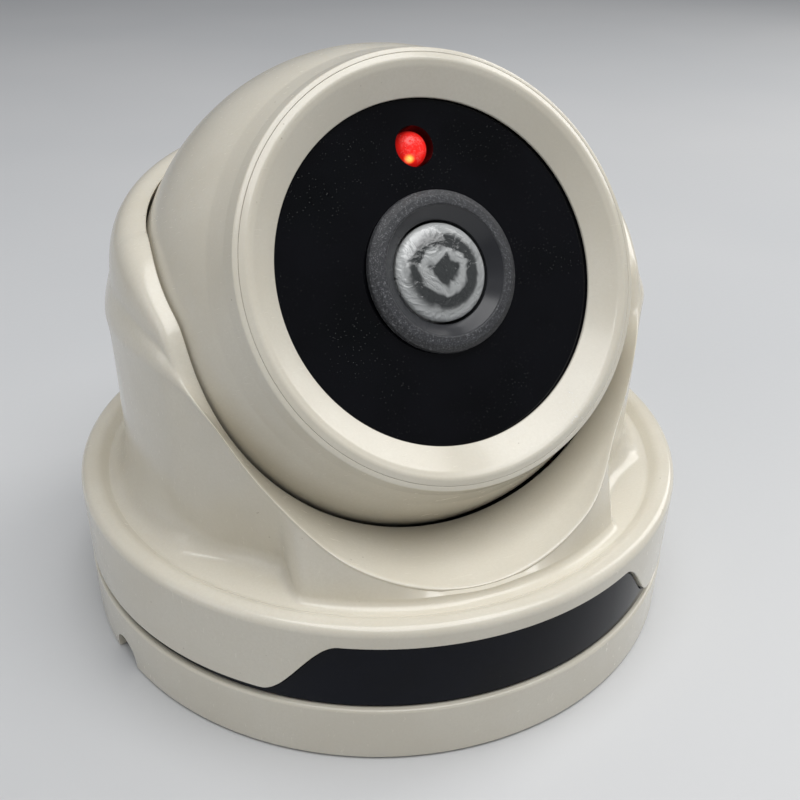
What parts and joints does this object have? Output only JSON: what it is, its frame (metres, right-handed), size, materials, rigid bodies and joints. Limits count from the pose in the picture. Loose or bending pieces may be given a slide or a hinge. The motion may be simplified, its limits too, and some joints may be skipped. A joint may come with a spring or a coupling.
{
  "type": "dome security camera",
  "caption": "Small turret dome camera with a tilting, swivelling ball, black face disc, lens and indicator light in a hooded round housing.",
  "frame": {"origin": "centre of the underside of the mounting base", "axes": "+Z away from the surface the camera is fixed to, -Y towards the front of the housing, +X to the camera's left"},
  "size_m": [0.0952, 0.0952, 0.0836],
  "materials": {
    "ivory_plastic": "glossy ivory ABS, slightly dusty",
    "black_gloss": "polished near-black acrylic",
    "black_satin": "satin black ABS",
    "rubber_pad": "matt black rubber",
    "clear_plastic": "clear moulded plastic with flow marks",
    "red_clear": "tinted clear epoxy, lit",
    "zinc_steel": "zinc-plated steel",
    "brass": "pressed brass",
    "board_green": "green solder mask",
    "cell_sleeve": "plain printed sleeve over a metal can",
    "resistor_body": "lacquered resistor",
    "red_wire": "PVC wire",
    "black_wire": "PVC wire"
  },
  "bodies": {
    "mount": {"mounting_base": "ivory_plastic"},
    "housing": {"upper_housing": "ivory_plastic", "band_insert": "black_gloss", "retaining_ring": "ivory_plastic", "retainer_screw_1": "zinc_steel", "retainer_screw_2": "zinc_steel", "retainer_screw_3": "zinc_steel"},
    "carrier": {"swivel_tray": "black_satin", "ball_seat_ring": "rubber_pad", "battery_cell_front": "cell_sleeve", "battery_cell_rear": "cell_sleeve", "cell_spring_front": "zinc_steel", "cell_spring_rear": "zinc_steel", "spring_plate_front": "zinc_steel", "spring_plate_rear": "zinc_steel", "contact_plate_front": "brass", "contact_plate_rear": "brass", "flasher_board": "board_green", "flasher_chip": "black_satin", "current_resistor": "resistor_body", "switch_body": "zinc_steel", "board_screw_1": "zinc_steel", "board_screw_2": "zinc_steel", "battery_wire_red": "red_wire", "battery_wire_black": "black_wire", "cell_link_wire": "red_wire", "feed_wire_red": "red_wire", "feed_wire_black": "black_wire"},
    "switch_knob": {"switch_knob": "black_satin"},
    "ball": {"ball_front_shell": "ivory_plastic", "ball_rear_shell": "ivory_plastic", "shell_screw_1": "zinc_steel", "shell_screw_2": "zinc_steel", "shell_screw_3": "zinc_steel", "bezel_ring": "ivory_plastic", "face_disc": "black_gloss", "lens_ring": "black_satin", "clear_lens": "clear_plastic", "lens_retainer": "black_satin", "red_led": "red_clear", "led_lead_plus": "zinc_steel", "led_lead_minus": "zinc_steel", "led_wire_red": "red_wire", "led_wire_black": "black_wire"}
  },
  "joints": [
    {"name": "housing_twist", "type": "hinge", "parent": "mount", "child": "housing", "pos_m": [0, 0, 0.0069], "axis": [0, 0, 1], "range_deg": [0, 12]},
    {"name": "carrier_swivel", "type": "hinge", "parent": "housing", "child": "carrier", "pos_m": [0, 0, 0.0069], "axis": [0, 0, 1], "range_deg": [-14, 1]},
    {"name": "ball_tilt", "type": "hinge", "parent": "carrier", "child": "ball", "pos_m": [0, 0, 0.047], "axis": [-0.9936, -0.1132, 0], "range_deg": [-2, 54]},
    {"name": "switch_slide", "type": "slide", "parent": "carrier", "child": "switch_knob", "axis": [0, 1, 0], "range_m": [-0.0024, 0]}
  ]
}
